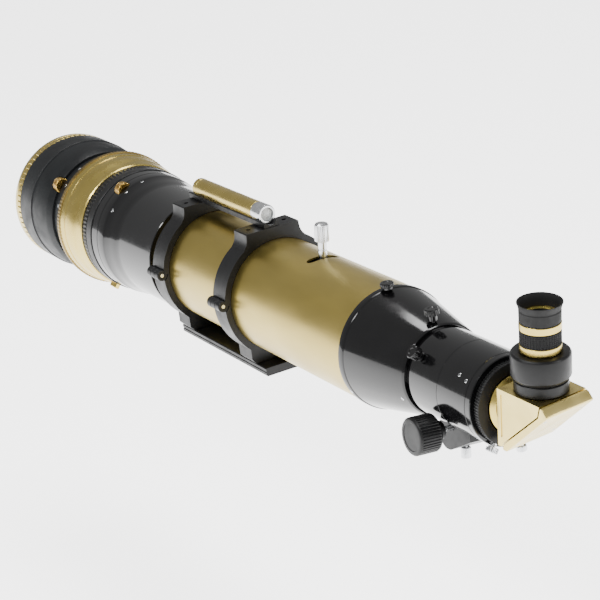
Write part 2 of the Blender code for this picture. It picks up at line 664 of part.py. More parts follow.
def build_diagonal(tube, square):
    """Mirror diagonal. Its nosepiece is true to the tube, its block and eyepiece holder to their own frame."""
    half = DIAGONAL_HALF
    body = add("diagonal_body", prism(diagonal_body_outline(), -half, half, "Y"), "gold", square)
    to_tube = square.matrix_basis.inverted()
    end = ADAPTER_RING_SPAN[1]
    nose = [
        (437, 0), (437, NOSE_RADIUS), (end + 0.8, NOSE_RADIUS), (end + 4, 20.6), (468.4, 20.6),
        (468.4, 0),
    ]
    helper(body, "nose", lathe(nose), "UNION", to_tube)
    helper(body, "light_in", pin(430, 520, LIGHT_RADIUS, BIG), turn=to_tube)
    helper(body, "light_up", pin(-16, 4, 13.6, MEDIUM), turn=UPWARD)
    add("diagonal_cover", prism(diagonal_cover_outline(), -half, half, "Y"), "gold", square)

    facing = Matrix.Rotation(math.radians(45 + 180), 4, "Y")
    add("diagonal_mirror", pin(-5.0, 0, 12.8, BIG, 0.4), "mirror", square, MIRROR_PLACE, facing)


def build_holder(square):
    """Fixed holder base with the blocking filter in it, and the ring that clamps the eyepiece."""
    base = [(0.3, 14.6), (0.3, 21.9), (9.4, 21.9), (9.4, HOLDER_BORE), (5.2, HOLDER_BORE), (5.2, 14.6)]
    add("holder_base", lathe(base), "black_satin", square, turn=UPWARD)
    add("blocking_filter", pin(1.0, 4.8, 14.2, BIG, 0.4), "filter_glass", square, turn=UPWARD)
    ring = [(9.7, HOLDER_BORE), (9.7, 21.9), (13.4, 24.1), (31.3, 24.1), (32.8, 22.8), (32.8, HOLDER_BORE)]
    add("holder_ring", lathe(ring), "black_satin", square, turn=UPWARD)


def build_eyepiece(square):
    """Eyepiece: barrel and body in one, rubber grip, eye lens and folding eyecup."""
    wide = EYEPIECE_RADIUS
    body = [
        (6.0, 13.2), (6.0, BARREL_RADIUS), (33.1, BARREL_RADIUS), (33.1, wide), (39.3, wide),
        (39.3, 15.0),
    ]
    body += [(51.3, 15.0), (51.3, wide + 0.1), (57.5, wide + 0.1), (57.5, 15.0), (64.0, 15.0), (64.0, 12.4)]
    body += [(20.0, 12.4), (20.0, 13.2)]
    add("eyepiece_body", lathe(body), "gold", square, turn=UPWARD)
    grip = [(39.6, 15.3), (39.6, wide - 0.2), (51.0, wide - 0.2), (51.0, 15.3)]
    add("eyepiece_grip", lathe(grip), "rubber", square, turn=UPWARD)
    lens_outline = [(56, 0), (56, 12.0), (59, 12.0), (60.6, 6.5), (61, 0)]
    add("eye_lens", lathe(lens_outline), "glass", square, turn=UPWARD)
    cup = [(57.8, 15.3), (57.8, wide - 0.2), (68.0, wide), (70.6, 17.1), (EYECUP_TOP, 18.4)]
    cup += [(EYECUP_TOP, 17.4), (70.9, 16.0), (67.6, 15.3)]
    add("eyecup", lathe(cup), "rubber", square, turn=UPWARD)


def main():
    for leftover in list(bpy.data.objects):
        bpy.data.objects.remove(leftover)
    build_mount()
    tube = empty("tube_axis", at=(0, 0, AXIS_HEIGHT), roll=TUBE_ROLL)
    build_tube(tube)
    build_objective(tube)
    build_front_stack(tube)
    build_tuner(tube)
    build_cone(tube)
    build_focuser(tube)
    build_drawtube(tube)
    square = empty("diagonal_frame", tube, DIAGONAL_PLACE)
    square.rotation_euler = [math.radians(angle) for angle in DIAGONAL_SKEW]
    build_diagonal(tube, square)
    build_holder(square)
    build_eyepiece(square)


main()
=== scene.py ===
"""Looks of the solar refractor: turned pieces, knurls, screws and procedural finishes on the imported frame.

Lengths in the outlines are millimetres. An outline is (x, radius) points about an axis, or flat points that
are extruded. MM turns them into the frame's metres.
"""

import json
import math

import bmesh
import bpy
from mathutils import Euler, Matrix, Vector


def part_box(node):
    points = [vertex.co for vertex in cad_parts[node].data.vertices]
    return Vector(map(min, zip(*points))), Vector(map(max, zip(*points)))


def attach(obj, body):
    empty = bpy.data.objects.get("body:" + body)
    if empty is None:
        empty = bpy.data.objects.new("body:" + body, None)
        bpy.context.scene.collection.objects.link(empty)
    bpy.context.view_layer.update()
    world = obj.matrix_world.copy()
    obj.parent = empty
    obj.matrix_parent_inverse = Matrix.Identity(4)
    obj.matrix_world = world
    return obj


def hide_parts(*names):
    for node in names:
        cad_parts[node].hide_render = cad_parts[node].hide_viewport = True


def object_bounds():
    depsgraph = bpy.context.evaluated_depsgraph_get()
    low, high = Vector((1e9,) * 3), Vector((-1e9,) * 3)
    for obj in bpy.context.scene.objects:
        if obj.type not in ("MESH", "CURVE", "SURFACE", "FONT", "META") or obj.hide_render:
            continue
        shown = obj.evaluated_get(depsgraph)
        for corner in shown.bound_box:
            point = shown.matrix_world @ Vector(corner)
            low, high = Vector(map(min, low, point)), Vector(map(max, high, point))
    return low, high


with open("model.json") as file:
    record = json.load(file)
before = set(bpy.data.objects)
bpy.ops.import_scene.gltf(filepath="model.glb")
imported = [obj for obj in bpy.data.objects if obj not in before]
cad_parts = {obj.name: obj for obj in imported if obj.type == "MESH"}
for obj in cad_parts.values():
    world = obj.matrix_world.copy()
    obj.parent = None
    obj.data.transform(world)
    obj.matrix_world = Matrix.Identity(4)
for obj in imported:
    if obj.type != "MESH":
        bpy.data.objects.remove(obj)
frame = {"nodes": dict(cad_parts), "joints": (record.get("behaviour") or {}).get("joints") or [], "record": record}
CAD_LOW, CAD_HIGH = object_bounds()

MM = 0.001
JOINTS = {joint["name"]: joint for joint in frame["joints"]}

# Camera: true to the photographed view
CAMERA_PLACE = (1.8160, -0.8543, 0.7409)
CAMERA_RIGHT = (0.48514, 0.86368, -0.13673)
CAMERA_UP = (-0.22822, 0.27600, 0.93367)
CAMERA_BACK = (0.84413, -0.42176, 0.33101)
CAMERA_LENS = 131.3

# Frames of the tube and of the diagonal, from the record's joints
KNOB_AXIS = JOINTS["focus_knobs_turn"]["axis"]
ROLL = math.atan2(KNOB_AXIS[2], KNOB_AXIS[1])
AXIS_HEIGHT = JOINTS["focuser_turn"]["pos_m"][2] / MM
DIAGONAL_SKEW = (4.5, 4.85, 8.0)

UPWARD = Matrix.Rotation(-math.pi / 2, 4, "Y")
SIDEWAYS = Matrix.Rotation(math.pi / 2, 4, "Z")


def shift(x=0.0, y=0.0, z=0.0):
    return Matrix.Translation(Vector((x, y, z)) * MM)


MOUNT = shift(z=AXIS_HEIGHT)
TUBE = MOUNT @ Matrix.Rotation(ROLL, 4, "X")
SQUARE = Matrix.Translation(JOINTS["holder_clamp_turn"]["pos_m"]) @ Matrix.Rotation(ROLL, 4, "X")
SQUARE = SQUARE @ Euler([math.radians(angle) for angle in DIAGONAL_SKEW]).to_matrix().to_4x4()


def outward(x, degrees, base=TUBE):
    """Turns +X into the direction that leaves the axis at x, at this angle from +Y towards +Z."""
    turn = Matrix.Rotation(math.radians(degrees), 4, "X") @ SIDEWAYS
    return base @ shift(x) @ turn


# ---------------------------------------------------------------- materials


class Look:
    """A Principled material built up from noise layers on object coordinates."""

    def __init__(self, name, colour, roughness, metallic=0.0):
        self.material = bpy.data.materials.new(name)
        self.material.use_nodes = True
        self.nodes = self.material.node_tree.nodes
        self.links = self.material.node_tree.links
        self.shader = self.nodes["Principled BSDF"]
        self.shader.inputs["Base Color"].default_value = (*colour, 1.0)
        self.shader.inputs["Roughness"].default_value = roughness
        self.shader.inputs["Metallic"].default_value = metallic
        self.colour = colour
        self.roughness = roughness
        self.height = None
        self.place = self.nodes.new("ShaderNodeTexCoord").outputs["Object"]

    def set(self, **values):
        for name, value in values.items():
            self.shader.inputs[name.replace("_", " ")].default_value = value
        return self

    def noise(self, scale, stretch=(1, 1, 1), detail=3.0):
        mapping = self.nodes.new("ShaderNodeMapping")
        mapping.inputs["Scale"].default_value = stretch
        texture = self.nodes.new("ShaderNodeTexNoise")
        texture.inputs["Scale"].default_value = scale
        texture.inputs["Detail"].default_value = detail
        self.links.new(self.place, mapping.inputs["Vector"])
        self.links.new(mapping.outputs["Vector"], texture.inputs["Vector"])
        return texture.outputs["Fac"]

    def ranged(self, value, low, high, start=0.3, end=0.7):
        node = self.nodes.new("ShaderNodeMapRange")
        node.inputs["From Min"].default_value = start
        node.inputs["From Max"].default_value = end
        node.inputs["To Min"].default_value = low
        node.inputs["To Max"].default_value = high
        self.links.new(value, node.inputs["Value"])
        return node.outputs["Result"]

    def tint(self, value, other, low=0.35, high=0.65):
        """Colour varies from the base colour to the other one."""
        ramp = self.nodes.new("ShaderNodeValToRGB")
        ramp.color_ramp.elements[0].position = low
        ramp.color_ramp.elements[0].color = (*self.colour, 1.0)
        ramp.color_ramp.elements[1].position = high
        ramp.color_ramp.elements[1].color = (*other, 1.0)
        self.links.new(value, ramp.inputs["Fac"])
        self.links.new(ramp.outputs["Color"], self.shader.inputs["Base Color"])
        return self

    def rough(self, value, low, high):
        self.links.new(self.ranged(value, low, high), self.shader.inputs["Roughness"])
        return self

    def bump(self, value, strength, distance):
        node = self.nodes.new("ShaderNodeBump")
        node.inputs["Strength"].default_value = strength
        node.inputs["Distance"].default_value = distance
        self.links.new(value, node.inputs["Height"])
        if self.height:
            self.links.new(self.height, node.inputs["Normal"])
        self.height = node.outputs["Normal"]
        self.links.new(self.height, self.shader.inputs["Normal"])
        return self


def shaded(colour, factor):
    return tuple(value * factor for value in colour)


def gold_tube():
    """Satin gold anodising over fine turning marks round the tube, with faint handling smears."""
    colour = (0.50, 0.385, 0.105)
    look = Look("gold_tube", colour, 0.33, 1.0)
    marks = look.noise(1.0, (2600, 14, 14), 2.0)
    smears = look.noise(14.0, (1, 2.5, 2.5), 5.0)
    look.tint(look.noise(9.0, (1, 3, 3), 4.0), (0.44, 0.335, 0.085))
    return look.rough(smears, 0.29, 0.39).bump(marks, 0.10, 0.00004)


def gold_bright():
    """Polished pale gold anodising of the turned rings, diagonal and finder."""
    look = Look("gold_bright", (0.62, 0.485, 0.145), 0.26, 1.0)
    look.tint(look.noise(22.0, (1, 1, 1), 4.0), (0.54, 0.415, 0.115))
    return look.rough(look.noise(60.0, (1, 1, 1), 4.0), 0.20, 0.33).bump(look.noise(1600.0), 0.05, 0.00003)


def gold_dull():
    look = Look("gold_dull", (0.25, 0.18, 0.06), 0.42, 1.0)
    look.tint(look.noise(40.0), (0.17, 0.12, 0.04))
    return look.rough(look.noise(90.0), 0.34, 0.50).bump(look.noise(1400.0), 0.08, 0.00004)


def gold_diagonal():
    """Bead-blasted and anodised faces of the diagonal, with rubbed lighter patches."""
    look = Look("gold_diagonal", (0.70, 0.565, 0.215), 0.30, 1.0)
    look.tint(look.noise(30.0, (1, 1, 1), 5.0), (0.60, 0.475, 0.165))
    return look.rough(look.noise(70.0), 0.24, 0.38).bump(look.noise(2200.0), 0.10, 0.00003)


def brass():
    look = Look("brass", (0.62, 0.40, 0.10), 0.24, 1.0)
    look.tint(look.noise(120.0), (0.50, 0.31, 0.075))
    return look.rough(look.noise(160.0), 0.18, 0.34).bump(look.noise(2400.0), 0.06, 0.00003)


def black_gloss():
    """Deep gloss paint: a clear coat with slight orange peel and a few fine dust marks."""
    look = Look("black_gloss", (0.002, 0.002, 0.0022), 0.13)
    look.set(Coat_Weight=0.15, Coat_Roughness=0.04, Specular_IOR_Level=0.42)
    look.tint(look.noise(35.0), (0.003, 0.003, 0.0033))
    look.rough(look.noise(50.0, (1, 1, 1), 5.0), 0.09, 0.18)
    return look.bump(look.noise(260.0, detail=1.0), 0.04, 0.00006)


def black_satin():
    look = Look("black_satin", (0.0035, 0.0036, 0.0038), 0.38)
    look.set(Specular_IOR_Level=0.24)
    look.tint(look.noise(28.0), (0.006, 0.0061, 0.0064))
    return look.rough(look.noise(80.0), 0.32, 0.47).bump(look.noise(1900.0), 0.16, 0.00004)


def black_matte():
    """Matt anodising with turning marks."""
    look = Look("black_matte", (0.0035, 0.0042, 0.0048), 0.46)
    look.set(Specular_IOR_Level=0.26)
    look.tint(look.noise(30.0), (0.006, 0.0072, 0.008))
    look.rough(look.noise(60.0), 0.38, 0.56)
    return look.bump(look.noise(1.0, (2200, 12, 12)), 0.12, 0.00004)


def rubber():
    look = Look("rubber", (0.006, 0.006, 0.0062), 0.72)
    look.set(Specular_IOR_Level=0.3)
    look.tint(look.noise(60.0), (0.011, 0.011, 0.011))
    return look.rough(look.noise(120.0), 0.62, 0.85).bump(look.noise(1500.0), 0.3, 0.00006)


def silver():
    look = Look("silver", (0.70, 0.71, 0.72), 0.22, 1.0)
    look.tint(look.noise(90.0), (0.60, 0.61, 0.62))
    return look.rough(look.noise(140.0), 0.16, 0.30).bump(look.noise(2400.0), 0.05, 0.00003)


def glass(name, colour, weight):
    look = Look(name, colour, 0.04)
    look.set(Transmission_Weight=weight, IOR=1.5)
    look.tint(look.noise(18.0), shaded(colour, 0.92))
    return look.rough(look.noise(40.0), 0.02, 0.06)


def screen():
    """Translucent end screen of the finder, silver-grey with a frosted face."""
    look = Look("screen", (0.62, 0.64, 0.63), 0.25)
    look.set(Transmission_Weight=0.25, Coat_Weight=0.3)
    look.tint(look.noise(140.0), (0.72, 0.74, 0.73))
    return look.rough(look.noise(200.0), 0.2, 0.35).bump(look.noise(1800.0), 0.1, 0.00004)


def mirror():
    look = Look("mirror", (0.90, 0.91, 0.92), 0.03, 1.0)
    return look.rough(look.noise(50.0), 0.02, 0.05)


LOOKS = {
    "gold_tube": (gold_tube(), "gold"),
    "gold_bright": (gold_bright(), "gold"),
    "gold_dull": (gold_dull(), "gold"),
    "gold_diagonal": (gold_diagonal(), "gold"),
    "brass": (brass(), "brass"),
    "black_gloss": (black_gloss(), "black_gloss"),
    "black_satin": (black_satin(), "black_satin"),
    "black_matte": (black_matte(), "black_matte"),
    "rubber": (rubber(), "rubber"),
    "silver": (silver(), "silver"),
    "steel": (silver(), "steel"),
    "filter_glass": (glass("filter_glass", (0.30, 0.03, 0.02), 0.5), "filter_glass"),
    "glass": (glass("glass", (0.80, 0.90, 0.86), 0.9), "glass"),
    "screen": (screen(), "screen"),
    "mirror": (mirror(), "mirror"),
}

# ---------------------------------------------------------------- shapes


def turned(outline, at=TUBE, steps=144, ribs=0, pattern=(0, 0, 1, 1), into=None):
    """A shape turned about an X axis from (x, radius) points. A third number sinks the ribs there so deep."""
    shape = into or bmesh.new()
    count = ribs * len(pattern) if ribs else steps
    rings = []
    for point in outline:
        x, radius = point[:2]
        depth = point[2] if len(point) > 2 else 0.0
        if radius == 0:
            rings.append([shape.verts.new(at @ Vector((x * MM, 0, 0)))])
            continue
        ring = []
        for index in range(count):
            angle = math.tau * index / count
            reach = radius - depth * pattern[index % len(pattern)]
            spot = Vector((x, reach * math.cos(angle), reach * math.sin(angle))) * MM
            ring.append(shape.verts.new(at @ spot))
        rings.append(ring)
    pairs = list(zip(rings, rings[1:]))
    if outline[0][1] > 0:
        pairs.append((rings[-1], rings[0]))
    for first, second in pairs:
        for index in range(count):
            after = (index + 1) % count
            corners = [first[index % len(first)], first[after % len(first)]]
            corners += [second[after % len(second)], second[index % len(second)]]
            kept = list(dict.fromkeys(corners))
            if len(kept) > 2:
                shape.faces.new(kept)
    return shape


def bore(start, stop, radius, at=TUBE, steps=144):
    """A plain round cutter from start to stop along an X axis."""
    return turned([(start, 0), (start, radius), (stop, radius), (stop, 0)], at, steps)


def prism(outline, start, end, at=MOUNT, along="X", into=None):
    """A flat outline extruded: (y, z) points along X, or (x, z) points along Y."""
    shape = into or bmesh.new()

    def spot(a, b, c):
        return at @ (Vector((c, a, b) if along == "X" else (a, c, b)) * MM)

    first = [shape.verts.new(spot(a, b, start)) for a, b in outline]
    second = [shape.verts.new(spot(a, b, end)) for a, b in outline]
    count = len(outline)
    shape.faces.new(first[::-1])
    shape.faces.new(second)
    for index in range(count):
        after = (index + 1) % count
        shape.faces.new((first[index], first[after], second[after], second[index]))
    return shape


def block(x_span, y_span, z_span, at=MOUNT, into=None):
    """A square-edged block between two values of each of x, y and z."""
    left, right = y_span
    low, high = z_span
    outline = [(left, low), (right, low), (right, high), (left, high)]
    return prism(outline, *x_span, at=at, into=into)


def arc(radius, start, end, steps, centre=(0.0, 0.0)):
    """Points on an arc, angles in radians from the first axis towards the second."""
    angles = [start + (end - start) * index / steps for index in range(steps + 1)]
    return [(centre[0] + radius * math.cos(a), centre[1] + radius * math.sin(a)) for a in angles]


def piece(name, shape, look, body, nodes=(), bevel=0.0, sharp=30.0):
    bmesh.ops.recalc_face_normals(shape, faces=shape.faces)
    mesh = bpy.data.meshes.new(name)
    shape.to_mesh(mesh)
    shape.free()
    material, slot = LOOKS[look]
    mesh.materials.append(material.material)
    mesh.shade_smooth()
    mesh.set_sharp_from_angle(angle=math.radians(sharp))
    made = bpy.data.objects.new(name, mesh)
    bpy.context.scene.collection.objects.link(made)
    if bevel:
        rounding = made.modifiers.new("rounding", "BEVEL")
        rounding.width = bevel * MM
        rounding.segments = 2
        rounding.limit_method = "ANGLE"
        rounding.angle_limit = math.radians(40)
    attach(made, body)
    if nodes:
        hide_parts(*nodes)
    return made


def carve(target, *cutters):
    """Cuts closed shapes out of a piece and keeps the result as its mesh."""
    made = []
    for index, shape in enumerate(cutters):
        bmesh.ops.recalc_face_normals(shape, faces=shape.faces)
        mesh = bpy.data.meshes.new(f"cutter_{index}")
        shape.to_mesh(mesh)
        shape.free()
        cutter = bpy.data.objects.new(f"cutter_{index}", mesh)
        bpy.context.scene.collection.objects.link(cutter)
        step = target.modifiers.new(cutter.name, "BOOLEAN")
        step.object = cutter
        step.solver = "EXACT"
        made.append(cutter)
    bpy.context.view_layer.update()
    graph = bpy.context.evaluated_depsgraph_get()
    result = bpy.data.meshes.new_from_object(target.evaluated_get(graph))
    target.modifiers.clear()
    target.data = result
    result.shade_smooth()
    result.set_sharp_from_angle(angle=math.radians(30))
    for cutter in made:
        bpy.data.objects.remove(cutter)


def set_screw(name, at, height, radius, body, look="silver"):
    """A small screw with a hexagon socket, its head's top at this height."""
    outline = [(height - 2.2, 0), (height - 2.2, radius), (height - 0.3, radius), (height, radius - 0.3)]
    outline += [(height, radius * 0.5), (height - 1.2, radius * 0.45), (height - 1.2, 0)]
    piece(name, turned(outline, at, 24), look, body)


# ---------------------------------------------------------------- mount


RING_BORE = 54.25
RING_RADIUS = 60.4
PART_LINE = 5.0
HINGE = (-61.8, 5.0)
KNUCKLE = 5.4
CLAMP_Y = 66.0


def lower_outline():
    """Section of the fixed half of a clamp ring: its bore, clamp lug, flat foot and hinge side."""
    line = PART_LINE - 0.15
    rise = math.asin(line / RING_BORE)
    outline = arc(RING_BORE, math.pi - rise, math.tau + rise, 60)
    outline += [(70.6, line), (70.9, line - 0.4), (70.9, -7.0), (70.0, -7.9)]
    outline += arc(RING_RADIUS, math.asin(-7.9 / RING_RADIUS), -math.acos(40.9 / RING_RADIUS), 14)
    outline += [(40.9, -55.0), (36.9, -59.6), (-36.9, -59.6), (-40.9, -55.0)]
    last = -math.pi - math.asin(line / RING_RADIUS)
    return outline + arc(RING_RADIUS, math.acos(40.9 / RING_RADIUS) - math.pi, last, 14)


def upper_outline():
    """Section of the opening half of a clamp ring: its bore, hinge side, rail pad and clamp lug."""
    line = PART_LINE + 0.15
    inner = math.asin(line / RING_BORE)
    shoulder = math.radians(57)
    outline = arc(RING_BORE, inner, math.pi - inner, 60)
    outline += arc(RING_RADIUS, math.pi - math.asin(line / RING_RADIUS), math.pi - shoulder, 16)
    side = [(31.4, 52.6), (29.6, 55.2), (28.5, 58.6), (28.0, 62.0), (27.9, 65.2), (27.0, 66.1)]
    outline += [(-y, z) for y, z in side] + side[::-1]
    outline += arc(RING_RADIUS, shoulder, math.asin(9.4 / RING_RADIUS), 16)
    return outline + [(70.0, 9.4), (70.9, 8.5), (70.9, line + 0.4), (70.6, line)]


def build_ring(end):
    """One clamshell ring: both halves, hinge knuckles and pin, and the knurled clamp screw."""
    low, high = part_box(f"{end}_ring_lower")
    front = low.x / MM + 0.05
    rear = high.x / MM - 0.05
    centre = (front + rear) / 2
    hinge_line = MOUNT @ shift(0, *HINGE)
    middle = 4.1

    lower_half = prism(lower_outline(), front, rear)
    lower = piece(f"{end}_ring_lower_half", lower_half, "black_satin", "mount", [f"{end}_ring_lower"])
    clear = KNUCKLE + 0.3
    ends = ((front - 3, centre - 4.4), (centre + 4.4, rear + 3))
    carve(lower, *[bore(start, stop, clear, hinge_line, 48) for start, stop in ends])
    upper_half = prism(upper_outline(), front, rear)
    upper = piece(f"{end}_ring_upper_half", upper_half, "black_satin", "clamp_tops", [f"{end}_ring_upper"])
    holes = [bore(58, 70, 2.3, MOUNT @ shift(centre, y) @ UPWARD, 24) for y in (-19.0, 19.0)]
    carve(upper, bore(centre - 4.4, centre + 4.4, clear, hinge_line, 48), *holes)

    spans = ((f"{end}_knuckle_low", "mount", centre - middle, centre + middle),
             (f"{end}_knuckle_front", "clamp_tops", front + 0.2, centre - 4.4),
             (f"{end}_knuckle_rear", "clamp_tops", centre + 4.4, rear - 0.2))
    for name, body, start, stop in spans:
        outline = [(start, 2.4), (start, KNUCKLE - 0.5), (start + 0.5, KNUCKLE)]
        outline += [(stop - 0.5, KNUCKLE), (stop, KNUCKLE - 0.5), (stop, 2.4)]
        piece(name, turned(outline, hinge_line, 48), "black_satin", body)
    pin = [(front + 0.5, 0), (front + 0.5, 1.8), (front + 0.9, 2.2)]
    pin += [(rear - 0.9, 2.2), (rear - 0.5, 1.8), (rear - 0.5, 0)]
    piece(f"{end}_hinge_pin_turned", turned(pin, hinge_line, 32), "silver", "mount", [f"{end}_hinge_pin"])

    screw = [(-7.0, 0), (-7.0, 1.9), (9.8, 1.9), (9.8, 4.1), (10.1, 4.45, 0.35), (13.3, 4.45, 0.35)]
    screw += [(13.7, 4.1), (13.7, 2.0), (11.4, 1.9), (11.4, 0)]
    place = MOUNT @ shift(centre, CLAMP_Y) @ UPWARD
    piece(f"{end}_clamp_cap_screw", turned(screw, place, ribs=20), "silver", f"{end}_clamp_knob",
          [f"{end}_clamp_screw"])


def build_plate():
    low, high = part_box("mounting_plate")
    half_x = high.x / MM - 0.05
    half_y = high.y / MM - 0.05
    top = high.z / MM - 0.05
    ground = Matrix.Identity(4)
    outline = [(-half_y, 0.9), (0.9 - half_y, 0.05), (half_y - 0.9, 0.05), (half_y, 0.9)]
    outline += [(half_y, 3.4), (half_y - 0.7, 3.8), (half_y - 0.7, 4.6), (half_y, 5.0)]
    outline += [(half_y, top - 0.9), (half_y - 0.9, top), (0.9 - half_y, top), (-half_y, top - 0.9)]
    outline += [(-half_y, 5.0), (0.7 - half_y, 4.6), (0.7 - half_y, 3.8), (-half_y, 3.4)]
    shape = prism(outline, -half_x, half_x, ground)
    plate = piece("plate", shape, "black_satin", "mount", ["mounting_plate"])
    holes = []
    for x in (-38.0, 38.0):
        holes.append(bore(-3, 12, 3.2, shift(x) @ UPWARD, 32))
    for x in (-72.4, 58.8):
        for y in (-30.0, 30.0):
            holes.append(bore(-3, 4.8, 6.0, shift(x, y) @ UPWARD, 32))
    carve(plate, *holes)


def build_finder():
    low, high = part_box("finder_rail")
    front, rear = low.x / MM + 0.05, high.x / MM - 0.05
    z0, z1 = 66.45, 71.5
    outline = [(-7.9, z0), (7.9, z0), (7.9, z1 - 0.5), (7.4, z1), (5.6, z1), (3.2, 68.7), (0, 67.9)]
    outline += [(-3.2, 68.7), (-5.6, z1), (-7.4, z1), (-7.9, z1 - 0.5)]
    piece("rail", prism(outline, front, rear), "black_satin", "clamp_tops", ["finder_rail"])
    axis = MOUNT @ shift(0, 0, 77.3)
    a, b = -74.4, 47.0
    tube = [(a, 1.5), (a, 8.4), (a + 0.7, 9.1), (a + 6, 9.1), (a + 6.2, 8.9), (a + 6.8, 8.9), (a + 7, 9.1)]
    tube += [(b - 0.3, 9.1), (b, 8.8), (b, 7.6), (a + 2, 7.6), (a + 2, 1.5)]
    piece("finder_barrel", turned(tube, axis, 96), "gold_bright", "clamp_tops", ["finder_tube"])
    cap = [(40.2, 6.1), (40.2, 7.3), (47.3, 7.3), (47.3, 8.8), (47.6, 9.1), (62.6, 9.1), (63.9, 8.7)]
    cap += [(64.4, 8.0), (64.4, 6.6), (62.0, 6.3), (60.0, 6.1)]
    piece("finder_cap", turned(cap, axis, 96), "silver", "clamp_tops")
    face = [(59.6, 0), (59.6, 6.0), (61.6, 6.2), (62.2, 5.2), (62.5, 0)]
    piece("finder_frosted_screen", turned(face, axis, 64), "screen", "clamp_tops", ["finder_screen"])


# ---------------------------------------------------------------- front filter unit


def wheel_axis(radius, degrees):
    """The line parallel to the tube on which a tuning wheel turns."""
    angle = math.radians(degrees)
    return TUBE @ shift(0, radius * math.cos(angle), radius * math.sin(angle))


def wheel(side, span, radius, degrees, body):
    """Brass tuning wheel with a knurled rim."""
    front, rear = span
    at = wheel_axis(radius, degrees)
    outline = [(front - 5.5, 0), (front - 5.5, 1.7), (front, 1.7), (front, 7.4), (front + 0.6, 8.2, 0.5)]
    outline += [(rear - 0.6, 8.2, 0.5), (rear, 7.4), (rear, 4.4), (rear - 0.8, 4.0), (rear - 0.8, 0)]
    piece(f"{side}_wheel_knurled", turned(outline, at, ribs=36), "brass", body, [f"{side}_tuning_wheel"])


def wheel_pocket(span, radius, degrees):
    """The space cut round a tuning wheel."""
    return bore(span[0] - 0.5, span[1] + 0.5, 8.8, wheel_axis(radius, degrees), 64)


TAB_ANGLE = -126 - 90 + 5.76


